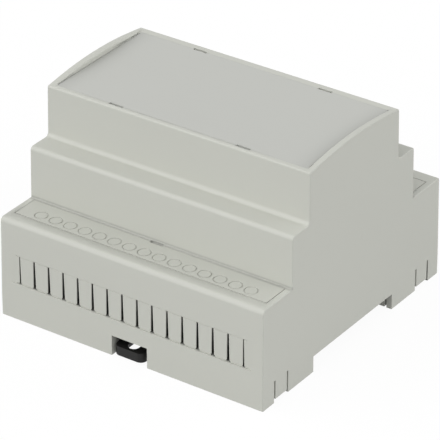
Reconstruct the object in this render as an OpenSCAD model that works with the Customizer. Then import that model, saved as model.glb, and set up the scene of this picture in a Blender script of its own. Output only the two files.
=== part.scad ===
// Snap-together case for a 35 mm mounting rail: a stepped cover over a rail foot,
// with two rows of break-out terminal flaps, two scored terminal strips, a clear-cut
// window panel and a sprung rail clip. The rail runs along X, Z is up, the clip is at -Y,
// and the origin is at the centre of the footprint, on the underside of the feet.

/* [Case] */
// Width of the case along the rail
body_w = 89.5; // [72:0.5:180]
// Depth of the case across the rail
body_d = 90; // [86:0.5:100]
// Height of the terminal shelves above the feet
shelf_h = 31.6; // [29:0.1:36]
// Height of the middle step
step_h = 47.7; // [44:0.1:52]
// Height of the top edge at the front and rear
top_h = 63.5; // [60:0.1:75]
// Rise of the end walls above the top edge, at their middle
arch_rise = 1.8; // [1:0.1:4]
// Depth of the middle step at its foot
step_d = 61.4; // [58:0.1:66]
// Depth of the top block at its foot
block_d = 44.8; // [42:0.1:50]
// Wall thickness of the cover
wall = 2.2; // [1.8:0.1:2.6]
// Lean of the moulded walls, in degrees
draft = 0.8; // [0:0.1:1.5]
// Height of the inward toe at the foot of the walls
toe_h = 7; // [4:0.5:8]
// Inward step of the toe
toe = 0.35; // [0:0.05:0.6]

/* [Edges] */
// Radius of the front edge of the terminal shelves
shelf_r = 2; // [1:0.1:3]
// Radius of the outer edge of the middle step
step_r = 1.8; // [1:0.1:3]
// Radius of the top edges
top_r = 0.9; // [0.4:0.1:1.5]
// Radius of the inner corner at the foot of the top block
cove_r = 1.2; // [0.3:0.1:2]

/* [Rail] */
// Width of the mounting rail
rail_w = 35; // [35:0.5:36]
// Thickness of the rail's flanges
rail_t = 1; // [1:0.1:1.5]
// Depth of the channel that takes the rail
channel_h = 5; // [4.6:0.1:6]
// Width of the channel that takes the rail
channel_w = 40.4; // [39.5:0.1:42]
// Overlap of the hooks and the clip under the rail
grip = 1.8; // [1.2:0.1:2.2]
// Clearance around the rail
rail_gap = 0.2; // [0.1:0.05:0.4]
// Width of each fixed hook
hook_w = 14; // [8:1:18]
// Distance between the fixed hooks
hook_pitch = 44; // [30:1:50]

/* [Terminals] */
// Number of terminal ways in each row
ways = 15; // [8:1:24]
// Distance between the terminal ways
pitch = 5.08; // [3.5:0.01:5.08]
// Height of the lower end of the flaps
flap_low = 12.2; // [10:0.1:14]
// Length of the flaps
flap_len = 9; // [7:0.1:10]
// Width of the slits at their upper end
slit_top = 0.6; // [0.4:0.05:1]
// Width of the slits at their lower end
slit_foot = 0.95; // [0.6:0.05:1.3]
// Width of the relief at the foot of each slit
relief_w = 1.5; // [1.2:0.1:2]
// Depth of the sunk field around the flaps, at its foot
field_depth = 0.35; // [0.2:0.05:0.5]
// Height of the sunk field
field_h = 15.2; // [12:0.1:16]
// Margin of the sunk field beyond the end slits
field_margin = 3.1; // [1.5:0.1:4]
// Diameter of the scored discs
disc_d = 4.1; // [3:0.1:4.4]

/* [Strips and panel] */
// Depth of the terminal strips
strip_d = 9.4; // [8:0.1:10]
// Thickness of the terminal strips
strip_t = 1.2; // [0.8:0.1:1.2]
// Distance from a strip to the riser behind it
strip_back = 0.5; // [0.4:0.1:1]
// How far the strip pockets reach into the end walls
strip_end = 0.55; // [0.2:0.05:0.8]
// Thickness of the window panel
panel_t = 2; // [1.5:0.1:2.5]
// Width of the rim in front of the panel
rim = 1.6; // [1.3:0.1:1.7]
// Gap around the strips, and along the front and rear of the panel
seam = 0.25; // [0.15:0.05:0.4]
// Gap at the ends of the panel
end_seam = 0.5; // [0.2:0.05:0.7]
// Width of the pry notches in the panel's edges
notch_w = 4.7; // [3:0.1:6]
// Width of the pry notch behind each strip
strip_notch_w = 4.4; // [3:0.1:6]
// Depth of the pry notches
notch_d = 0.9; // [0.6:0.1:1.2]
// Distance between the pry notches along the panel
notch_pitch = 42.6; // [30:0.1:50]

/* [Clip] */
// Width of the rail clip
clip_w = 10.2; // [8:0.1:11]
// Thickness of the rail clip
clip_t = 2.2; // [1.6:0.1:2.4]
// Height of the clip's underside above the feet
clip_low = 0.8; // [0.5:0.1:1]
// Travel of the clip when it is pulled to free the rail
clip_travel = 3; // [2:0.1:4]
// Sideways place of the clip from the middle of its notch
clip_x = -0.6; // [-1:0.1:1]
// Width of the notch in the front wall
mouth_w = 12.1; // [11:0.1:14]
// Height of the notch in the front wall
mouth_h = 6.4; // [6:0.1:7]
// Width of the screwdriver slot
pull_w = 2.5; // [2:0.1:3.5]
// Length of the screwdriver slot
pull_len = 7; // [5:0.1:8]

/* [Foot] */
// Thickness of the foot's floor
floor_t = 2; // [1.5:0.1:2.5]
// Thickness of the foot's ribs
rib = 1.6; // [1.2:0.1:2]
// Clearance between the foot and the cover
fit = 0.3; // [0.2:0.05:0.4]
// Width of the snap tongues in the end walls
tongue_w = 5; // [4:0.1:6]
// Width of the slots beside the tongues
slot_w = 1.2; // [0.8:0.1:1.5]
// Height of the slots beside the tongues
slot_h = 7; // [6:0.1:8]
// How far the tongues end above the feet
tongue_lift = 1; // [0.5:0.1:1.5]
// Distance of the tongues from the middle of the case
tongue_y = 36.1; // [34:0.1:37]
// Distance between the board pillars along the rail
pillar_x = 66; // [40:1:70]
// Distance between the board pillars across the rail
pillar_y = 68; // [50:1:74]
// Height of the board pillars
pillar_h = 4; // [3:0.5:8]
// Outer diameter of the board pillars
pillar_d = 6; // [5:0.1:8]
// Diameter of the screw holes in the board pillars
pillar_bore = 2.5; // [2:0.1:3]

/* [Hidden] */
$fn = 96;
plastic = "#c3c4bc";
clip_colour = "#2c2c2b";
past = 1;                                   // how far a cutter runs past a face

lean = tan(draft);
inner_w = body_w - 2 * wall;
inner_d = body_d - 2 * wall;
block_top = leaned(block_d / 2, step_h, top_h);
panel_low = top_h - panel_t;

row_w = ways * pitch;                       // from the first slit to the last
flap_high = flap_low + flap_len;
field_high = flap_low + field_h;
score = 0.3;                                // width of the score lines
score_depth = 0.15;
relief_h = 0.5;
end_slit = 0.6;                             // share of the width left at the end slits

window_y = block_top - rim;
window_x = leaned(inner_w / 2, toe_h, top_h);
strip_y0 = step_d / 2 + strip_back;         // inner edge of the strip pockets
strip_y1 = strip_y0 + strip_d;
strip_half = leaned(inner_w / 2, toe_h, shelf_h) + strip_end;
strip_low = shelf_h - strip_t;
ledge = 0.8;                                // width of the ledge that carries a strip
disc_y = strip_y0 + 6.2;
disc_groove = 0.3;
leg_t = 1;
leg_h = 4;
leg_gap = 0.3;
panel_leg_y = leaned(block_d / 2 - wall, step_h, panel_low) - leg_gap;

grip_z = channel_h - rail_t - rail_gap;     // top of the hooks and of the clip's nose
seat_y = rail_w / 2 + rail_gap;
hook_tip = rail_w / 2 - grip;
clip_half = clip_w / 2;
clip_top = clip_low + clip_t;
clip_front = -body_d / 2 + toe + 0.1;
clip_back = -channel_w / 2 - rib;
clip_gap = 0.3;
clip_r = 3;
pull_y = clip_front + 1.9;                  // near end of the screwdriver slot
flange_w = 1.2;
flange_t = 1;
flange_low = clip_low + 1.2;
flange_y0 = -body_d / 2 + wall + 5;
flange_y1 = clip_back - clip_travel;
tunnel_half = clip_half + flange_w + clip_gap;
tunnel_h = mouth_h + 2;
tunnel_y1 = flange_y0 + 6;

base_w = inner_w - 2 * fit;
base_d = inner_d - 2 * fit;
floor_top = channel_h + floor_t;
foot_y0 = channel_w / 2;
tongue_relief = 0.9;
catch_reach = fit + 0.5;

// Half width of a leaning wall at height z, where it is half_w at height z0
function leaned(half_w, z0, z) = half_w - lean * (z - z0);

// Front face of the case at height z, above the toe
function face_y(z) = -leaned(body_d / 2, toe_h, z);

// Runs a profile drawn in the Y-Z plane along X, centred
module along_x(length)
    translate([-length / 2, 0, 0])
        rotate([90, 0, 90])
            linear_extrude(length)
                children();

// Runs a profile drawn in the X-Z plane along Y, from y0 to y1
module along_y(y0, y1)
    translate([0, y1, 0])
        rotate([90, 0, 0])
            linear_extrude(y1 - y0)
                children();

// A box between two opposite corners
module box(low, high)
    translate(low)
        cube(high - low);

// One copy at the front and one at the rear
module both_sides() {
    children();
    mirror([0, 1, 0])
        children();
}

// One copy at each end
module both_ends() {
    children();
    mirror([1, 0, 0])
        children();
}

// ---- Silhouettes ----

// Leaning block with rounded top edges, half_w wide at height z0
module tier(half_w, z0, height, radius) {
    bend = height - radius;
    foot_half = leaned(half_w, z0, 0);
    bend_half = leaned(half_w, z0, bend);
    polygon([[-foot_half, 0], [foot_half, 0], [bend_half, bend], [-bend_half, bend]]);
    for (side = [-1, 1])
        translate([side * (bend_half - radius), bend])
            circle(radius);
    translate([radius - bend_half, 0])
        square([2 * (bend_half - radius), height]);
}

// Rounded inner corner at the foot of the top block
module cove(foot_half, height)
    for (side = [0, 1])
        mirror([side, 0])
            translate([foot_half, height])
                difference() {
                    translate([-cove_r / 2, -cove_r / 2])
                        square(1.5 * cove_r);
                    translate([cove_r, cove_r])
                        circle(cove_r);
                }

// The stepped outline of the cover, seen from the end
module outline() {
    tier(body_d / 2, toe_h, shelf_h, shelf_r);
    tier(step_d / 2, shelf_h, step_h, step_r);
    tier(block_d / 2, step_h, top_h, top_r);
    cove(block_d / 2, step_h);
}

// The hollow inside it, open at the top for the panel
module hollow_outline() {
    inner_r = 0.6;
    tier(body_d / 2 - wall, toe_h, shelf_h - wall, inner_r);
    tier(step_d / 2 - wall, shelf_h, step_h - wall, inner_r);
    tier(block_d / 2 - wall, step_h, top_h + past, inner_r);
}

// Leaning side walls seen from the front, with the toe at their foot
module end_outline(half_w, step_in) {
    head = top_h + arch_rise + past;
    head_half = leaned(half_w, toe_h, head);
    polygon([[step_in - half_w, 0], [half_w - step_in, 0], [half_w, toe_h],
             [head_half, head], [-head_half, head], [-half_w, toe_h]]);
}

// The arched head of the end walls
module arch_outline() {
    chord = block_top - top_r;
    radius = (chord * chord + arch_rise * arch_rise) / (2 * arch_rise);
    intersection() {
        translate([0, top_h + arch_rise - radius])
            circle(radius, $fn = 200);
        translate([-chord, panel_low])
            square([2 * chord, panel_t + arch_rise + past]);
    }
}

// ---- Cover ----

// Solid form of the cover, before it is hollowed
module cover_form()
    intersection() {
        union() {
            along_x(body_w + 2 * past)
                outline();
            difference() {
                along_x(body_w + 2 * past)
                    arch_outline();
                along_y(-body_d, body_d)
                    end_outline(inner_w / 2, 0);
            }
        }
        along_y(-body_d, body_d)
            end_outline(body_w / 2, toe);
    }

// Wedges that bring the foot of the front and rear walls in
module toe_cut()
    both_sides()
        along_x(body_w + 2 * past)
            polygon([[-body_d / 2 + toe, -past], [-body_d / 2 - past, -past],
                     [-body_d / 2 - past, toe_h], [-body_d / 2, toe_h],
                     [-body_d / 2 + toe, 0]]);

// One slit between two flaps, wider towards its foot
module slit(share)
    along_y(-body_d / 2 - past, -body_d / 2 + wall + past) {
        polygon([[-slit_foot / 2 * share, flap_low], [slit_foot / 2 * share, flap_low],
                 [slit_top / 2 * share, flap_high], [-slit_top / 2 * share, flap_high]]);
        translate([-relief_w / 2 * share, flap_low])
            square([relief_w * share, relief_h]);
    }

// Sunk field, slits and score lines of one row of break-out flaps
module flap_row() {
    field_half = row_w / 2 + field_margin;
    along_x(2 * field_half)
        polygon([[face_y(flap_low) - past, flap_low],
                 [face_y(flap_low) + field_depth, flap_low],
                 [face_y(field_high), field_high], [face_y(field_high) - past, field_high]]);
    for (way = [0 : ways])
        translate([(way - ways / 2) * pitch, 0, 0])
            slit(way == 0 || way == ways ? end_slit : 1);
    for (line = [0, 1])
        along_x(row_w + pitch / 2)
            translate([face_y(flap_low) - past,
                       line == 0 ? flap_low : flap_high])
                square([past + score_depth + (line == 0 ? field_depth
                        : field_depth * (field_high - flap_high) / field_h
                          + lean * flap_len), score]);
}

// Pocket in a shelf for a terminal strip, with a ledge all round and a pry notch
module strip_pocket() {
    box([-strip_half, -strip_y1, strip_low], [strip_half, -strip_y0, shelf_h + past / 4]);
    box([ledge - strip_half, ledge - strip_y1, shelf_h - wall - past],
        [strip_half - ledge, -strip_y0 - ledge, shelf_h]);
    box([-strip_notch_w / 2, -strip_y0 - past, strip_low],
        [strip_notch_w / 2, strip_back / 2 - strip_y0, shelf_h + past / 4]);
}

// Pry notches where the panel meets the rim in front of it
module panel_notches()
    both_ends()
        both_sides()
            box([(notch_pitch - notch_w) / 2, -window_y - notch_d / 2, panel_low],
                [(notch_pitch + notch_w) / 2, -window_y + notch_d / 2, top_h + past]);

// Slots beside the snap tongues in the end walls, and the relief behind the tongues
module tongue_cuts() {
    slot_y = (tongue_w + slot_w) / 2;
    relief_x = leaned(inner_w / 2, toe_h, 0) + tongue_relief;
    both_sides() {
        for (side = [-1, 1])
            along_x(body_w + 2 * past)
                translate([-tongue_y + side * slot_y - slot_w / 2, -past])
                    square([slot_w, slot_h + past]);
        along_x(body_w + 2 * past)
            translate([-tongue_y - tongue_w / 2, -past])
                square([tongue_w, tongue_lift + past]);
        along_x(2 * relief_x)
            translate([-tongue_y - tongue_w / 2, -past])
                square([tongue_w, slot_h - 1 + past]);
    }
}

module cover()
    color(plastic)
        difference() {
            cover_form();
            toe_cut();
            intersection() {
                along_x(body_w)
                    hollow_outline();
                along_y(-body_d, body_d)
                    end_outline(inner_w / 2, 0);
            }
            intersection() {
                box([-body_w, -window_y, panel_low], [body_w, window_y, top_h + past]);
                along_y(-body_d, body_d)
                    end_outline(inner_w / 2, 0);
            }
            panel_notches();
            both_sides() {
                flap_row();
                strip_pocket();
            }
            box([-mouth_w / 2, -body_d / 2 - past, -past],
                [mouth_w / 2, -inner_d / 2 + past, mouth_h]);
            box([-body_w, -channel_w / 2, -past], [body_w, channel_w / 2, channel_h]);
            tongue_cuts();
        }

// ---- Panel and terminal strips ----

// Flat panel between the arched end walls, on four legs that snap inside the rim
module top_panel()
    color(plastic)
        difference() {
            union() {
                box([end_seam - window_x, seam - window_y, panel_low],
                    [window_x - end_seam, window_y - seam, top_h]);
                both_ends()
                    both_sides()
                        box([(notch_pitch - notch_w) / 2 + leg_gap, -panel_leg_y,
                             panel_low - leg_h],
                            [(notch_pitch + notch_w) / 2 - leg_gap, leg_t - panel_leg_y,
                             panel_low + past]);
            }
            panel_notches();
        }

// Strip with a scored disc over each terminal, a pry notch and a leg at each end
module terminal_strip()
    difference() {
        union() {
            box([seam - strip_half, seam - strip_y1, strip_low],
                [strip_half - seam, -strip_y0 - seam, shelf_h]);
            both_ends()
                box([strip_half - ledge - leg_gap - leg_t,
                     -(strip_y0 + strip_y1) / 2 - 2, strip_low - leg_h],
                    [strip_half - ledge - leg_gap,
                     -(strip_y0 + strip_y1) / 2 + 2, strip_low + strip_t / 2]);
        }
        for (way = [0 : ways - 1])
            translate([(way - (ways - 1) / 2) * pitch, -disc_y, shelf_h - score])
                difference() {
                    cylinder(h = past, d = disc_d);
                    translate([0, 0, -past])
                        cylinder(h = 3 * past, d = disc_d - 2 * disc_groove);
                }
        box([-strip_notch_w / 2, -strip_y0 - notch_d, strip_low - past],
            [strip_notch_w / 2, -strip_y0, shelf_h + past]);
    }

module front_terminal_strip()
    color(plastic)
        terminal_strip();

module rear_terminal_strip()
    color(plastic)
        mirror([0, 1, 0])
            terminal_strip();

// ---- Foot ----

// Walls of the two feet beside the rail channel
module feet()
    both_sides()
        difference() {
            box([-base_w / 2, -base_d / 2, 0], [base_w / 2, -foot_y0, channel_h + past]);
            for (bay = [0 : 3])
                box([-base_w / 2 + rib + bay * (base_w - rib) / 4, rib - base_d / 2, -past],
                    [-base_w / 2 + (bay + 1) * (base_w - rib) / 4, -foot_y0 - rib,
                     channel_h]);
        }

// Fixed hooks that hold the rear flange of the rail
module fixed_hooks()
    both_ends()
        translate([hook_pitch / 2, 0, 0])
            along_x(hook_w)
                polygon([[foot_y0 + rib / 2, 0], [foot_y0 + rib / 2, channel_h + floor_t / 2],
                         [seat_y, channel_h + floor_t / 2], [seat_y, grip_z],
                         [hook_tip, grip_z], [hook_tip, grip_z - 0.9],
                         [seat_y + 0.5, 0.5], [seat_y + 0.5, 0]]);

// Windows in the floor over the lips of the hooks and over the clip's nose, so that
// the undercuts can be moulded and the rail's seat stays flat
module seat_windows() {
    both_ends()
        translate([hook_pitch / 2, 0, 0])
            box([-hook_w / 2 - clip_gap, hook_tip - clip_gap, channel_h - past],
                [hook_w / 2 + clip_gap, seat_y, floor_top + past]);
    translate([clip_x, 0, 0])
        box([-clip_half - clip_gap, -foot_y0, channel_h - past],
            [clip_half + clip_gap, clip_gap - hook_tip, floor_top + past]);
}

// Roof and side walls over the clip, with the rails that guide its flanges
module clip_tunnel() {
    outer_half = tunnel_half + rib;
    translate([clip_x, 0, 0]) {
        box([-outer_half, -base_d / 2, 0], [outer_half, -foot_y0, channel_h + past]);
        box([-outer_half, -base_d / 2, channel_h], [outer_half, tunnel_y1 + rib,
            tunnel_h + rib]);
    }
}

// Space for the clip inside the tunnel
module clip_space()
    translate([clip_x, 0, 0]) {
        box([-tunnel_half, -base_d / 2 - past, -past], [tunnel_half, flange_y0, tunnel_h]);
        box([-tunnel_half, -base_d / 2 - past, channel_h], [tunnel_half, tunnel_y1,
            tunnel_h]);
        box([-clip_half - clip_gap, -base_d / 2 - past, -past],
            [clip_half + clip_gap, -foot_y0 + past, channel_h - 0.6]);
        box([-tunnel_half, flange_y0 - past, flange_low - 0.15],
            [tunnel_half, -foot_y0 - rib, flange_low + flange_t + 0.15]);
    }

// Pillar for the circuit board, with a blind screw hole
module board_pillars()
    for (x = [-1, 1], y = [-1, 1])
        translate([x * pillar_x / 2, y * pillar_y / 2, channel_h])
            cylinder(h = floor_t + pillar_h, d = pillar_d);

module board_bores()
    for (x = [-1, 1], y = [-1, 1])
        translate([x * pillar_x / 2, y * pillar_y / 2, channel_h + 0.8])
            cylinder(h = floor_t + pillar_h, d = pillar_bore);

// Catches that stand in the relief of the cover's tongues
module catches()
    both_ends()
        both_sides()
            box([base_w / 2 - past, -tongue_y - 1.7, tongue_lift + 1.5],
                [base_w / 2 + catch_reach, -tongue_y + 1.7, slot_h - 2]);

module base()
    color(plastic)
        difference() {
            union() {
                box([-base_w / 2, -base_d / 2, channel_h], [base_w / 2, base_d / 2,
                    floor_top]);
                feet();
                fixed_hooks();
                clip_tunnel();
                board_pillars();
                catches();
            }
            seat_windows();
            clip_space();
            board_bores();
        }

// ---- Rail clip ----

// Rounded pull tab and body of the clip, seen from above
module clip_plan() {
    for (side = [-1, 1])
        translate([side * (clip_half - clip_r), clip_front + clip_r])
            circle(clip_r);
    translate([clip_r - clip_half, clip_front])
        square([clip_w - 2 * clip_r, clip_back - clip_front + past]);
    translate([-clip_half, clip_front + clip_r])
        square([clip_w, clip_back - clip_front - clip_r + past]);
}

// Slot for the screwdriver, with round ends
module pull_slot()
    for (y = [pull_y + pull_w / 2, pull_y + pull_len - pull_w / 2])
        translate([0, y])
            circle(pull_w / 2);

module rail_clip()
    color(clip_colour)
        translate([clip_x, 0, 0]) {
            difference() {
                translate([0, 0, clip_low])
                    linear_extrude(clip_t)
                        clip_plan();
                translate([0, 0, clip_low - past])
                    linear_extrude(clip_t + 2 * past) {
                        pull_slot();
                        translate([-pull_w / 2, pull_y + pull_w / 2])
                            square([pull_w, pull_len - pull_w]);
                    }
            }
            box([-clip_half - flange_w, flange_y0 + clip_travel + 1, flange_low],
                [clip_half + flange_w, flange_y1 + clip_travel - 1, flange_low + flange_t]);
            along_x(clip_w)
                polygon([[clip_back, clip_low], [clip_back, clip_top], [clip_back + 1.6, grip_z],
                         [-hook_tip, grip_z], [-hook_tip, grip_z - 0.9],
                         [-seat_y - 0.6, clip_low]]);
        }

base();
cover();
top_panel();
front_terminal_strip();
rear_terminal_strip();
rail_clip();
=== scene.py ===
import math

import bmesh
import bpy
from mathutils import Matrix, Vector


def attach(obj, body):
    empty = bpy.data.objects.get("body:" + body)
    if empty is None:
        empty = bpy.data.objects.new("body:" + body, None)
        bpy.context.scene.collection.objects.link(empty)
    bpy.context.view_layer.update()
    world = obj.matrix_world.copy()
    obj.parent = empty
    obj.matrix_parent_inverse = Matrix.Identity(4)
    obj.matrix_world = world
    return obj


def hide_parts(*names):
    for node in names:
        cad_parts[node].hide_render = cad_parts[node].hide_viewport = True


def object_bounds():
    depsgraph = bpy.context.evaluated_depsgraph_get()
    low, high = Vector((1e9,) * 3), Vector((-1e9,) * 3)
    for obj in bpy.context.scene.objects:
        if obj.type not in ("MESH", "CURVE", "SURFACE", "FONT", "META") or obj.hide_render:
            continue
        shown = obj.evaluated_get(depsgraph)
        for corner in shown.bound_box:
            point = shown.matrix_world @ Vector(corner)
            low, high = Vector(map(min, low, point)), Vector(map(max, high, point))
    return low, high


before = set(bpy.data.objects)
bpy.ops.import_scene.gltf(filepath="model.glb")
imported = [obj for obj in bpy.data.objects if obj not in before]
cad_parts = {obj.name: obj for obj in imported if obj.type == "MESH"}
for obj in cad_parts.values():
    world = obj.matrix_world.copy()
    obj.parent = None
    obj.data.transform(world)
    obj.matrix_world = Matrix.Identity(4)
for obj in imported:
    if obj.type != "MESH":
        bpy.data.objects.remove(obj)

CAD_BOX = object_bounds()

bl_info = {
    "name": "DIN Rail Case Finish",
    "version": (1, 0, 0),
    "blender": (4, 5, 0),
    "location": "3D View > Sidebar > Rail Case",
    "description": "Finishes a stepped plastic rail case and sets it on a pale studio floor",
    "category": "Object",
}

MM = 0.001
STRIP_NODES = ("front_terminal_strip", "rear_terminal_strip")


# ---- Sizes and colours that a user would change ----


def plastic_colour(default):
    """The colour setting of a plastic."""
    return bpy.props.FloatVectorProperty(
        name="Colour", description="Colour of the plastic", subtype="COLOR",
        size=3, min=0, max=1, default=default)


def flow_marks(default):
    """The flow mark setting of a plastic."""
    return bpy.props.FloatProperty(
        name="Flow Marks", description="How far the colour drifts across the moulding",
        subtype="FACTOR", min=0, max=0.1, default=default)


def skin_roughness(default):
    """The roughness setting of a plastic."""
    return bpy.props.FloatProperty(
        name="Roughness", description="Roughness of the skin",
        subtype="FACTOR", min=0, max=1, default=default)


class TexturedSkin:
    """Grain that all the plastics share"""

    grain_size: bpy.props.FloatProperty(
        name="Grain Size", description="Distance between the grains of the textured skin",
        unit="LENGTH", subtype="DISTANCE", min=0.00002, max=0.002, default=0.00035)
    grain_depth: bpy.props.FloatProperty(
        name="Grain Depth", description="Depth of the grains of the textured skin",
        unit="LENGTH", subtype="DISTANCE", min=0, max=0.0002, default=0.000012)


class CaseFinish(TexturedSkin, bpy.types.PropertyGroup):
    """Plastic of the cover and foot"""

    colour: plastic_colour((0.515, 0.522, 0.476))
    flow: flow_marks(0.018)
    roughness: skin_roughness(0.48)


class StripFinish(TexturedSkin, bpy.types.PropertyGroup):
    """Plastic of the terminal strips"""

    colour: plastic_colour((0.497, 0.504, 0.459))
    flow: flow_marks(0.018)
    roughness: skin_roughness(0.48)


class WindowFinish(TexturedSkin, bpy.types.PropertyGroup):
    """Plastic of the window panel"""

    colour: plastic_colour((0.472, 0.478, 0.449))
    flow: flow_marks(0.018)
    roughness: skin_roughness(0.42)


class ClipFinish(TexturedSkin, bpy.types.PropertyGroup):
    """Plastic of the rail clip"""

    colour: plastic_colour((0.010, 0.010, 0.0095))
    flow: flow_marks(0.05)
    roughness: skin_roughness(0.42)


class EdgeFinish(bpy.types.PropertyGroup):
    """Softness of the moulded edges"""

    radius: bpy.props.FloatProperty(
        name="Edge Radius", description="Radius of the small moulded edges",
        unit="LENGTH", subtype="DISTANCE", min=0, max=0.001, default=0.00018)
    sharp_angle: bpy.props.FloatProperty(
        name="Sharp Angle", description="Edges that turn more than this are softened",
        subtype="ANGLE", min=0, max=math.pi, default=math.radians(32))


class Studio(bpy.types.PropertyGroup):
    """Floor, lamps and camera"""

    floor_colour: bpy.props.FloatVectorProperty(
        name="Floor Colour", description="Colour that the floor throws back on the case",
        subtype="COLOR", size=3, min=0, max=1, default=(0.38, 0.38, 0.38))
    floor_seen: bpy.props.FloatVectorProperty(
        name="Floor Seen", description="Colour of the floor where the camera sees it",
        subtype="COLOR", size=3, min=0, max=1, default=(0.95, 0.95, 0.95))
    floor_white: bpy.props.FloatProperty(
        name="Floor White", description="How far the floor is lifted to white where it is seen",
        subtype="FACTOR", min=0, max=1, default=0.94)
    sky: bpy.props.FloatProperty(
        name="Sky", description="Strength of the even light all round",
        min=0, max=2, default=0.06)
    azimuth: bpy.props.FloatProperty(
        name="Azimuth", description="Turn of the camera round the case",
        subtype="ANGLE", default=math.radians(34.88))
    elevation: bpy.props.FloatProperty(
        name="Elevation", description="Height of the camera above the horizon",
        subtype="ANGLE", default=math.radians(29.9))
    distance: bpy.props.FloatProperty(
        name="Distance", description="Distance from the camera to its target",
        unit="LENGTH", subtype="DISTANCE", min=0.2, max=5, default=0.949)
    lens: bpy.props.FloatProperty(
        name="Lens", description="Focal length in millimetres", min=20, max=600,
        default=274.3)
    target: bpy.props.FloatVectorProperty(
        name="Target", description="Point that the camera looks at", subtype="TRANSLATION",
        unit="LENGTH", size=3, default=(0.00042, -0.00164, 0.02505))


class RailCaseSettings(bpy.types.PropertyGroup):
    """Everything that the panel shows"""

    case: bpy.props.PointerProperty(
        type=CaseFinish, name="Case", description="Plastic of the cover and foot")
    strips: bpy.props.PointerProperty(
        type=StripFinish, name="Strips", description="Plastic of the terminal strips")
    window: bpy.props.PointerProperty(
        type=WindowFinish, name="Panel", description="Plastic of the window panel")
    clip: bpy.props.PointerProperty(
        type=ClipFinish, name="Clip", description="Plastic of the rail clip")
    edges: bpy.props.PointerProperty(
        type=EdgeFinish, name="Edges", description="Softness of the moulded edges")
    studio: bpy.props.PointerProperty(
        type=Studio, name="Studio", description="Floor, lamps and camera")


def settings():
    """The sizes and colours that the user has set."""
    return bpy.context.scene.rail_case


# ---- Shader maths ----


class Wire:
    """A node socket that adds Math nodes when it is used in an expression."""

    def __init__(self, sheet, socket):
        self.sheet = sheet
        self.socket = socket

    def _maths(self, operation, *values):
        node = self.sheet.node("ShaderNodeMath", {"operation": operation}, dict(enumerate(values)))
        return Wire(self.sheet, node.outputs[0])

    def __add__(self, other):
        return self._maths("ADD", self, other)

    def __radd__(self, other):
        return self._maths("ADD", other, self)

    def __sub__(self, other):
        return self._maths("SUBTRACT", self, other)

    def __rsub__(self, other):
        return self._maths("SUBTRACT", other, self)

    def __mul__(self, other):
        return self._maths("MULTIPLY", self, other)

    def __rmul__(self, other):
        return self._maths("MULTIPLY", other, self)

    def __abs__(self):
        return self._maths("ABSOLUTE", self)

    def __pow__(self, other):
        return self._maths("POWER", self, other)

    def __rpow__(self, other):
        return self._maths("POWER", other, self)

    def at_least(self, least):
        return self._maths("MAXIMUM", self, least)

    def between(self, start, end):
        """Climbs from 0 at start to 1 at end."""
        return self.sheet.out("ShaderNodeMapRange", "Result", {}, {
            "Value": self, "From Min": start, "From Max": end})


class Sheet:
    """The node tree of one material or world."""

    def __init__(self, tree):
        self.tree = tree
        tree.nodes.clear()

    def node(self, kind, settings_first=None, inputs=None):
        node = self.tree.nodes.new(kind)
        for name, value in (settings_first or {}).items():
            setattr(node, name, value)
        for name, value in (inputs or {}).items():
            if isinstance(value, Wire):
                self.tree.links.new(value.socket, node.inputs[name])
            else:
                node.inputs[name].default_value = value
        return node

    def out(self, kind, output, settings_first=None, inputs=None, index=None):
        node = self.node(kind, settings_first, inputs)
        return Wire(self, node.outputs[output if index is None else index])


def new_sheet(name):
    """A new material and its empty node tree."""
    material = bpy.data.materials.new(name)
    material.use_nodes = True
    return material, Sheet(material.node_tree)


# ---- Materials ----

# Sizes of the slow drift of colour and of the fine speckle, in repeats a metre
DRIFT_SCALE = 22.0
SPECK_SCALE = 900.0
# Bands of drawn shade, in metres: where each starts, is full, begins to fade and ends
FOOT_HEIGHTS = (0.0312, 0.0315, 0.0320, 0.0325)
FOOT_DEPTHS = (0.0302, 0.0304, 0.0314, 0.0320)
SLIT_HEIGHTS = (0.0116, 0.0118, 0.0208, 0.0210)
SLIT_DEPTHS = (0.0420, 0.0423, 0.0443, 0.0444)
# Half widths where the row of flaps fades out, and where the panel darkens
FLAP_ROW_END = (0.0392, 0.0390)
PANEL_SHADE = (0.0350, 0.0425)
PANEL_EDGE = (0.0418, 0.0424)


def no_shade(x, y, z):
    """A plastic without drawn shade."""
    return 0.0


def band(value, start, full, fade, end):
    """Climbs from start to full and falls again from fade to end."""
    return value.between(start, full) * value.between(end, fade)


def foot_shade(x, y, z):
    """Thin line of shade where the terminal strips meet the riser behind them."""
    return band(z, *FOOT_HEIGHTS) * band(abs(y), *FOOT_DEPTHS) * 0.22


def slit_shade(x, y, z):
    """Deep shade on the walls of the slits between the flaps."""
    flaps = abs(x).between(*FLAP_ROW_END) * band(z, *SLIT_HEIGHTS)
    return flaps * band(abs(y), *SLIT_DEPTHS) * 0.94 + foot_shade(x, y, z)


def end_shade(x, y, z):
    """Soft shade at the two ends of the window panel."""
    across = abs(x)
    end = across.between(*PANEL_SHADE)
    return end * end * 0.16 + across.between(*PANEL_EDGE) * 0.2


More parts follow.
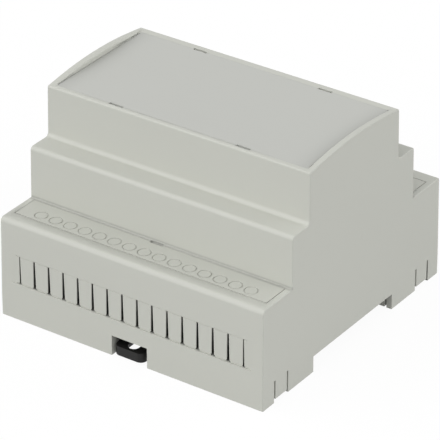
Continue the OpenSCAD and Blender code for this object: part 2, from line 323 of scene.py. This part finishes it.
def moulded_plastic(name, finish, gloss=0.5, shadow=no_shade):
    """Textured moulded plastic: a slow drift of colour, a fine grain and a varied sheen."""
    material, sheet = new_sheet(name)
    place = sheet.out("ShaderNodeTexCoord", "Object")
    drift = sheet.out("ShaderNodeTexNoise", "Fac", {}, {
        "Vector": place, "Scale": DRIFT_SCALE, "Detail": 3.0, "Roughness": 0.55})
    speck = sheet.out("ShaderNodeTexNoise", "Fac", {}, {
        "Vector": place, "Scale": SPECK_SCALE, "Detail": 2.0, "Roughness": 0.6})
    grain = sheet.out("ShaderNodeTexNoise", "Fac", {}, {
        "Vector": place, "Scale": 1 / finish.grain_size, "Detail": 3.0, "Roughness": 0.65})
    axes = sheet.node("ShaderNodeSeparateXYZ", {}, {0: place})
    dark = shadow(*(Wire(sheet, axis) for axis in axes.outputs))
    shade = 1.0 + (drift - 0.5) * (2 * finish.flow) + (speck - 0.5) * finish.flow
    shade = shade * (1.0 - dark)
    tone = sheet.out("ShaderNodeVectorMath", "Vector", {"operation": "SCALE"}, {
        0: tuple(finish.colour), "Scale": shade})
    sheen = finish.roughness + (speck - 0.5) * 0.1 + (drift - 0.5) * 0.08
    bump = sheet.out("ShaderNodeBump", "Normal", {}, {
        "Height": grain, "Distance": finish.grain_depth, "Strength": 1.0})
    skin = sheet.out("ShaderNodeBsdfPrincipled", "BSDF", {}, {
        "Base Color": tone, "Roughness": sheen, "Normal": bump,
        "Specular IOR Level": gloss, "IOR": 1.5})
    sheet.node("ShaderNodeOutputMaterial", {}, {"Surface": skin})
    return material


# ---- Shapes, in millimetres ----

# How far the walls lean in for each millimetre of height
LEAN = math.tan(math.radians(0.8))
# Half depth at the foot, height of the foot and of the head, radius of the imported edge,
# and the radii that the front and the rear edge are given
TIERS = (
    (45.0, 7.0, 31.6, 2.0, 1.4, 0.45),
    (30.7, 31.6, 47.7, 1.8, 1.25, 0.45),
    (22.4, 47.7, 63.5, 0.9, 0.6, 0.45),
)
HALF_WIDTH = 44.75
HALF_DEPTH = 45.0
# Top of the toe at the foot of the walls, and how far the toe steps in
TOE_TOP = 7.0
TOE_STEP = 0.6
# What the lean of the end walls is eased by
EASED_LEAN = 0.003
# Half width between the end walls at their foot, and how far it is opened
INNER_WIDTH = 42.55
INNER_OPENED = 0.45
# Top of the cove at the foot of the upper riser
COVE_TOP = 48.9
# Half depth where the long walls begin, and half width where the end walls begin
LONG_WALL = 42
END_WALL = 40
# Height of each line round the flaps and how far it is set down
FLAP_LINES = ((12.19, 0.5), (21.19, 0.6))
FLAP_LINE_WIDTH = 0.6
# Lower corner of the sunk field round the flaps, as half width, half depth and height,
# and how far it is drawn in to soften the side of the field
FIELD_CORNER = (41.2, 44.577, 11.7)
FIELD_SIDE = 0.7
# Place of each wall of the slots beside the tongues and its step inwards
SLOT_WALLS = ((32.4, 0.25), (33.6, -0.25), (38.6, 0.25), (39.8, -0.25))
# The rim behind the window panel: half width, half depths, lowest point and growth
RIM_WIDTH = 43
RIM_DEPTHS = (20.1, 21.1)
RIM_FOOT = 61
RIM_GROWTH = 0.8
# The upper riser at the rear: half depths, lowest point and its step outwards
RISER_DEPTHS = (21.2, 22.5)
RISER_FOOT = 47.6
RISER_STEP = 0.1
# Ends and long sides of the window panel, and what closes its seams there
PANEL_END, PANEL_END_GROWTH = 41, 0.78
PANEL_SIDE, PANEL_SIDE_GROWTH = 20.2, 0.21
# Radius and steps of the rounding of the outer ends and of the inner arches
OUTER_ROUNDING = (0.3, 3)
ARCH_ROUNDING = (0.6, 4)
# Foot of the inner arches and the half widths that they lie between
ARCH_FOOT = 63.45
ARCH_WIDTHS = (41.5, 42.8)
# Plans of the clip's pull tab, its hollow and its slot: x from and to, y from and to,
# and the radius of the front corners
TAB_PLAN, TAB_HEIGHTS = (-5.75, 4.3, -44.7, -35.2, 2.0), (0.5, 3.4)
HOLLOW_PLAN, HOLLOW_HEIGHTS = (-4.7, 3.25, -43.65, -30.0, 1.0), (0, 2.2)
SLOT_PLAN, SLOT_HEIGHTS = (-2.3, 1.1, -43.65, -37.5, 1.7), (2, 4)
# Corners of what the tab replaces
AWAY_PLAN, AWAY_HEIGHTS = ((-8, -50), (8, -50), (8, -35.4), (-8, -35.4)), (0, 6)


def near(value, wanted, reach=0.02):
    """True where a value is within reach of the wanted one."""
    return abs(value - wanted) < reach


def clean_copy(node_name):
    """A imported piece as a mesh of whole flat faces."""
    shape = bmesh.new()
    shape.from_mesh(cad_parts[node_name].data)
    bmesh.ops.scale(shape, vec=(1 / MM,) * 3, verts=shape.verts)
    bmesh.ops.remove_doubles(shape, verts=shape.verts, dist=0.002)
    bmesh.ops.dissolve_limit(shape, angle_limit=math.radians(0.3), verts=shape.verts,
                             edges=shape.edges)
    return shape


def reshape(shape, rule):
    """Moves the corners of a shape by a rule that takes and gives x, y and z."""
    for corner in shape.verts:
        x, y, z = corner.co
        width, depth, height = rule(abs(x), abs(y), z, y > 0)
        corner.co = (math.copysign(width, x), math.copysign(depth, y), height)
    bmesh.ops.remove_doubles(shape, verts=shape.verts, dist=0.001)


def lower_lines(width, depth, height):
    """Sets the score lines of the flaps and the foot of their field down."""
    if depth > LONG_WALL and width < LONG_WALL:
        for line, drop in FLAP_LINES:
            height -= drop if 0 <= height - line < FLAP_LINE_WIDTH else 0
    return width, depth, height


def narrow_slots(width, depth, height):
    """Brings the walls of the slots beside the tongues together."""
    if height < TOE_TOP + 0.01 and width > END_WALL:
        for wall, step in SLOT_WALLS:
            depth += step if near(depth, wall) else 0
    return width, depth, height


def straighten_walls(width, depth, height):
    """Takes the toe off the foot, eases the lean of the end walls and slims them."""
    rise = height - TOE_TOP
    if rise < 0:
        width = HALF_WIDTH if width > HALF_WIDTH - TOE_STEP else width
        depth = HALF_DEPTH if depth > HALF_DEPTH - TOE_STEP else depth
    if near(width, HALF_WIDTH - LEAN * max(rise, 0), 0.03):
        width += EASED_LEAN * max(rise, 0)
    if near(width, INNER_WIDTH - LEAN * rise, 0.1):
        width += INNER_OPENED
    return width, depth, height


def shrink_edges(width, depth, height, rear):
    """Gives the long edges of the steps their smaller radii."""
    for half, foot, head, packed, front_edge, rear_edge in TIERS:
        corner = half - LEAN * (head - foot)
        within = corner - packed - 0.01 < depth < corner + 0.1
        if within and head - packed - 0.01 < height < head + 0.01:
            share = (rear_edge if rear else front_edge) / packed
            return width, corner + (depth - corner) * share, head + (height - head) * share
    return width, depth, height


def cover_rule(width, depth, height, rear):
    """Straight foot, slim end walls, small edges, soft field sides and a wider rear rim."""
    width, depth, height = lower_lines(width, depth, height)
    width, depth, height = narrow_slots(width, depth, height)
    width, depth, height = straighten_walls(width, depth, height)
    corner_width, corner_depth, corner_height = FIELD_CORNER
    if (near(height, corner_height) and near(width, corner_width)
            and near(depth, corner_depth, 0.05)):
        width -= FIELD_SIDE
    if near(depth, TIERS[2][0], 0.005) and near(height, COVE_TOP):
        depth -= LEAN * (height - TIERS[2][1])
    if (rear and height > RIM_FOOT and RIM_DEPTHS[0] < depth < RIM_DEPTHS[1]
            and width < RIM_WIDTH):
        depth -= RIM_GROWTH
    width, depth, height = shrink_edges(width, depth, height, rear)
    if rear and height > RISER_FOOT and RISER_DEPTHS[0] < depth < RISER_DEPTHS[1]:
        depth += RISER_STEP
    return width, depth, height


def panel_rule(width, depth, height, rear):
    """Narrow seams all round the window panel."""
    if width > PANEL_END:
        width += PANEL_END_GROWTH
    if depth > PANEL_SIDE:
        depth += PANEL_SIDE_GROWTH
    if rear and depth > RIM_DEPTHS[0]:
        depth -= RIM_GROWTH
    return width, depth, height


def round_over(shape, radius, steps, wanted):
    """Rounds the edges whose two ends pass the wanted test."""
    chosen = [edge for edge in shape.edges if len(edge.link_faces) == 2
              and edge.calc_face_angle(0) > math.radians(40)
              and wanted(*(end.co for end in edge.verts))]
    bmesh.ops.bevel(shape, geom=chosen, offset=radius, offset_type="OFFSET",
                    segments=steps, profile=0.5, affect="EDGES", clamp_overlap=False)


def on_outer_end(start, end):
    """Edges round the end walls, but not those of the cuts in their foot."""
    def outside(point):
        lean = (LEAN - EASED_LEAN) * max(point.z - TOE_TOP, 0)
        return near(abs(point.x), HALF_WIDTH - lean, 0.03)
    corner = abs(start.y) > HALF_DEPTH - 1 and abs(end.y) > HALF_DEPTH - 1
    return outside(start) and outside(end) and (
        corner or min(start.z, end.z) > TOE_TOP + 0.1)


def on_inner_arch(start, end):
    """Inner edges of the arched heads of the end walls."""
    low, high = ARCH_WIDTHS
    return (min(start.z, end.z) > ARCH_FOOT and abs(start.y - end.y) > 0.2
            and low < abs(start.x) < high and low < abs(end.x) < high)


def to_object(shape, name):
    """Turns a shape into an object in the scene."""
    bmesh.ops.scale(shape, vec=(MM,) * 3, verts=shape.verts)
    mesh = bpy.data.meshes.new(name)
    shape.to_mesh(mesh)
    shape.free()
    piece = bpy.data.objects.new(name, mesh)
    bpy.context.scene.collection.objects.link(piece)
    return piece


def prism(outline, low, high):
    """A plan outline raised from one height to another."""
    shape = bmesh.new()
    face = shape.faces.new([shape.verts.new((x, y, low)) for x, y in outline])
    grown = bmesh.ops.extrude_face_region(shape, geom=[face])["geom"]
    raised = [item for item in grown if isinstance(item, bmesh.types.BMVert)]
    bmesh.ops.translate(shape, vec=(0, 0, high - low), verts=raised)
    bmesh.ops.remove_doubles(shape, verts=shape.verts, dist=0.001)
    bmesh.ops.recalc_face_normals(shape, faces=shape.faces)
    return shape


def front_rounded(x0, x1, y0, y1, radius, steps=12):
    """Plan outline of a plate whose two front corners are round."""
    points = []
    for centre, first in ((x0 + radius, math.pi), (x1 - radius, 1.5 * math.pi)):
        for step in range(steps + 1):
            turn = first + step / steps * math.pi / 2
            points.append((centre + radius * math.cos(turn),
                           y0 + radius + radius * math.sin(turn)))
    return [*points, (x1, y1), (x0, y1)]


def combine(piece, other, operation):
    """Cuts another object out of a piece, or joins it on, and removes the other."""
    step = piece.modifiers.new("combine", "BOOLEAN")
    step.operation = operation
    step.solver = "EXACT"
    step.object = other
    mesh = bpy.data.meshes.new_from_object(
        piece.evaluated_get(bpy.context.evaluated_depsgraph_get()))
    piece.modifiers.clear()
    piece.data = mesh
    bpy.data.objects.remove(other)


# ---- Pieces ----


def even_shading(piece):
    """Smooth round edges beside flat faces."""
    piece.data.shade_smooth()
    piece.data.set_sharp_from_angle(angle=math.radians(40))
    even = piece.modifiers.new("even shading", "WEIGHTED_NORMAL")
    even.keep_sharp = True


def small_edges(piece):
    """Softens the small moulded edges."""
    edges = settings().edges
    soft = piece.modifiers.new("soft edges", "BEVEL")
    soft.width = edges.radius
    soft.segments = 2
    soft.limit_method = "ANGLE"
    soft.angle_limit = edges.sharp_angle
    soft.use_clamp_overlap = True
    soft.harden_normals = True


def dress(node_name, material):
    """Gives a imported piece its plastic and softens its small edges."""
    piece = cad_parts[node_name]
    piece.data.materials.clear()
    piece.data.materials.append(material)
    weld = piece.modifiers.new("weld", "WELD")
    weld.merge_threshold = 0.002 * MM
    flats = piece.modifiers.new("flats", "DECIMATE")
    flats.decimate_type = "DISSOLVE"
    flats.angle_limit = math.radians(0.3)
    small_edges(piece)


def stand_in(piece, node_name, body, material):
    """Puts a finished piece in the place of a packed one."""
    piece.data.materials.clear()
    piece.data.materials.append(material)
    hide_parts(node_name)
    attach(piece, body)


class PieceOperator:
    """What the operators below have in common."""

    bl_options = {"REGISTER", "UNDO"}


class RAILCASE_OT_housing(PieceOperator, bpy.types.Operator):
    """Mould the stepped cover and finish the foot in the textured case plastic"""

    bl_idname = "railcase.housing"
    bl_label = "Finish Housing"

    def execute(self, context):
        plastic = moulded_plastic("case_plastic", settings().case, shadow=slit_shade)
        dress("base", plastic)
        shape = clean_copy("cover")
        reshape(shape, cover_rule)
        round_over(shape, *OUTER_ROUNDING, on_outer_end)
        round_over(shape, *ARCH_ROUNDING, on_inner_arch)
        cover = to_object(shape, "stepped_cover")
        even_shading(cover)
        stand_in(cover, "cover", "cover", plastic)
        return {"FINISHED"}


class RAILCASE_OT_terminal_strips(PieceOperator, bpy.types.Operator):
    """Finish the two scored terminal strips"""

    bl_idname = "railcase.terminal_strips"
    bl_label = "Finish Terminal Strips"

    def execute(self, context):
        plastic = moulded_plastic("strip_plastic", settings().strips, shadow=foot_shade)
        for name in STRIP_NODES:
            dress(name, plastic)
        return {"FINISHED"}


class RAILCASE_OT_window_panel(PieceOperator, bpy.types.Operator):
    """Finish the flat panel between the arched end walls"""

    bl_idname = "railcase.window_panel"
    bl_label = "Finish Window Panel"

    def execute(self, context):
        plastic = moulded_plastic("panel_plastic", settings().window, shadow=end_shade)
        shape = clean_copy("top_panel")
        reshape(shape, panel_rule)
        panel = to_object(shape, "window_panel")
        stand_in(panel, "top_panel", "panel", plastic)
        return {"FINISHED"}


class RAILCASE_OT_rail_clip(PieceOperator, bpy.types.Operator):
    """Mould the sprung clip in smooth black plastic"""

    bl_idname = "railcase.rail_clip"
    bl_label = "Finish Rail Clip"

    def execute(self, context):
        plastic = moulded_plastic("clip_plastic", settings().clip, gloss=0.3)
        clip = to_object(clean_copy("rail_clip"), "sprung_clip")
        tab = to_object(prism(front_rounded(*TAB_PLAN), *TAB_HEIGHTS), "pull_tab")
        hollow = prism(front_rounded(*HOLLOW_PLAN), *HOLLOW_HEIGHTS)
        slot = prism(front_rounded(*SLOT_PLAN), *SLOT_HEIGHTS)
        away = prism(AWAY_PLAN, *AWAY_HEIGHTS)
        combine(tab, to_object(hollow, "hollow"), "DIFFERENCE")
        combine(tab, to_object(slot, "slot"), "DIFFERENCE")
        combine(clip, to_object(away, "away"), "DIFFERENCE")
        combine(clip, tab, "UNION")
        small_edges(clip)
        stand_in(clip, "rail_clip", "clip", plastic)
        return {"FINISHED"}


# ---- Stage ----


def seen_share(sheet):
    """One where the camera, a reflection or glass looks, and nought for the light."""
    path = sheet.node("ShaderNodeLightPath")
    camera, glossy, clear = (Wire(sheet, path.outputs[f"Is {ray} Ray"])
                             for ray in ("Camera", "Glossy", "Transmission"))
    return camera + glossy + clear


def seen_white(sheet, surface, share):
    """Lifts a surface towards white where it is seen."""
    white = sheet.out("ShaderNodeEmission", "Emission", {}, {"Strength": 1.0})
    return sheet.out("ShaderNodeMixShader", "Shader", {}, {
        "Fac": seen_share(sheet) * share, 1: surface, 2: white})


# How fast a soft box falls off away from its middle
BOX_FOCUS = 5
# Azimuth, elevation and power of the soft boxes round the case
SOFT_BOXES = (
    (45, 12, 0.3),
    (90, 12, 1.35),
    (135, 12, 1.75),
    (270, 12, 1.2),
    (315, 12, 2.4),
    (0, 48, 1.1),
    (60, 48, 0.5),
    (300, 48, 0.3),
)


def soft_box(sheet, towards, azimuth, elevation):
    """Light that falls off smoothly around one direction."""
    turn, lift = math.radians(azimuth), math.radians(elevation)
    middle = (math.sin(turn) * math.cos(lift), -math.cos(turn) * math.cos(lift),
              math.sin(lift))
    facing = sheet.out("ShaderNodeVectorMath", "Value", {"operation": "DOT_PRODUCT"}, {
        0: towards, 1: middle})
    return facing.at_least(0.0) ** BOX_FOCUS


FLOOR_SIZE = 6.0


class RAILCASE_OT_studio(PieceOperator, bpy.types.Operator):
    """Lay the pale floor, hang the lamps and place the camera"""

    bl_idname = "railcase.studio"
    bl_label = "Set Up Studio"

    def execute(self, context):
        studio = settings().studio
        scene = context.scene
        scene.view_settings.view_transform = "Standard"
        self.floor(studio)
        self.sky(scene, studio)
        self.camera(scene, studio)
        return {"FINISHED"}

    def floor(self, studio):
        half = FLOOR_SIZE / 2
        mesh = bpy.data.meshes.new("floor")
        z = CAD_BOX[0].z
        mesh.from_pydata([(-half, -half, z), (half, -half, z), (half, half, z),
                          (-half, half, z)], [], [(0, 1, 2, 3)])
        floor = bpy.data.objects.new("floor", mesh)
        bpy.context.scene.collection.objects.link(floor)
        material, sheet = new_sheet("floor")
        camera = sheet.out("ShaderNodeLightPath", "Is Camera Ray")
        colour = sheet.out("ShaderNodeMix", "Result", {"data_type": "RGBA"}, {
            0: camera, 6: (*studio.floor_colour, 1.0), 7: (*studio.floor_seen, 1.0)}, 2)
        paper = sheet.out("ShaderNodeBsdfDiffuse", "BSDF", {}, {"Color": colour})
        sheet.node("ShaderNodeOutputMaterial", {}, {
            "Surface": seen_white(sheet, paper, studio.floor_white)})
        mesh.materials.append(material)

    def sky(self, scene, studio):
        world = bpy.data.worlds.new("studio")
        world.use_nodes = True
        scene.world = world
        sheet = Sheet(world.node_tree)
        towards = sheet.out("ShaderNodeTexCoord", "Generated")
        light = studio.sky
        for azimuth, elevation, power in SOFT_BOXES:
            light = light + soft_box(sheet, towards, azimuth, elevation) * power
        seen = seen_share(sheet)
        level = seen + (1.0 - seen) * light
        glow = sheet.out("ShaderNodeBackground", "Background", {}, {
            "Color": (1.0, 1.0, 1.0, 1.0), "Strength": level})
        sheet.node("ShaderNodeOutputWorld", {}, {"Surface": glow})

    def camera(self, scene, studio):
        data = bpy.data.cameras.new("camera")
        data.lens = studio.lens
        data.sensor_width = 36.0
        data.clip_start = 0.05
        data.clip_end = 20.0
        camera = bpy.data.objects.new("camera", data)
        scene.collection.objects.link(camera)
        back = Vector((math.sin(studio.azimuth) * math.cos(studio.elevation),
                       -math.cos(studio.azimuth) * math.cos(studio.elevation),
                       math.sin(studio.elevation)))
        camera.location = Vector(studio.target) + back * studio.distance
        camera.rotation_euler = (-back).to_track_quat("-Z", "Y").to_euler()
        scene.camera = camera


class RAILCASE_PT_sidebar(bpy.types.Panel):
    """Buttons and settings of the rail case"""

    bl_label = "Rail Case"
    bl_space_type = "VIEW_3D"
    bl_region_type = "UI"
    bl_category = "Rail Case"

    def draw(self, context):
        for operator in OPERATORS:
            self.layout.operator(operator.bl_idname)
        shown = context.scene.rail_case
        for group in ("case", "strips", "window", "clip", "edges", "studio"):
            box = self.layout.box()
            box.label(text=group.title())
            values = getattr(shown, group)
            for entry in values.bl_rna.properties:
                if entry.is_runtime:
                    box.prop(values, entry.identifier)


OPERATORS = (
    RAILCASE_OT_studio,
    RAILCASE_OT_housing,
    RAILCASE_OT_terminal_strips,
    RAILCASE_OT_window_panel,
    RAILCASE_OT_rail_clip,
)
CLASSES = (
    CaseFinish,
    StripFinish,
    WindowFinish,
    ClipFinish,
    EdgeFinish,
    Studio,
    RailCaseSettings,
    *OPERATORS,
    RAILCASE_PT_sidebar,
)


def register():
    """Adds the settings, the operators and the panel to Blender."""
    for item in CLASSES:
        bpy.utils.register_class(item)
    bpy.types.Scene.rail_case = bpy.props.PointerProperty(
        type=RailCaseSettings, name="Rail Case", description="Settings of the rail case")


def unregister():
    """Takes them away again."""
    del bpy.types.Scene.rail_case
    for item in reversed(CLASSES):
        bpy.utils.unregister_class(item)


def main():
    """Builds the finished case and its stage."""
    register()
    for operator in OPERATORS:
        group, name = operator.bl_idname.split(".")
        getattr(getattr(bpy.ops, group), name)()


if __name__ == "__main__":
    main()
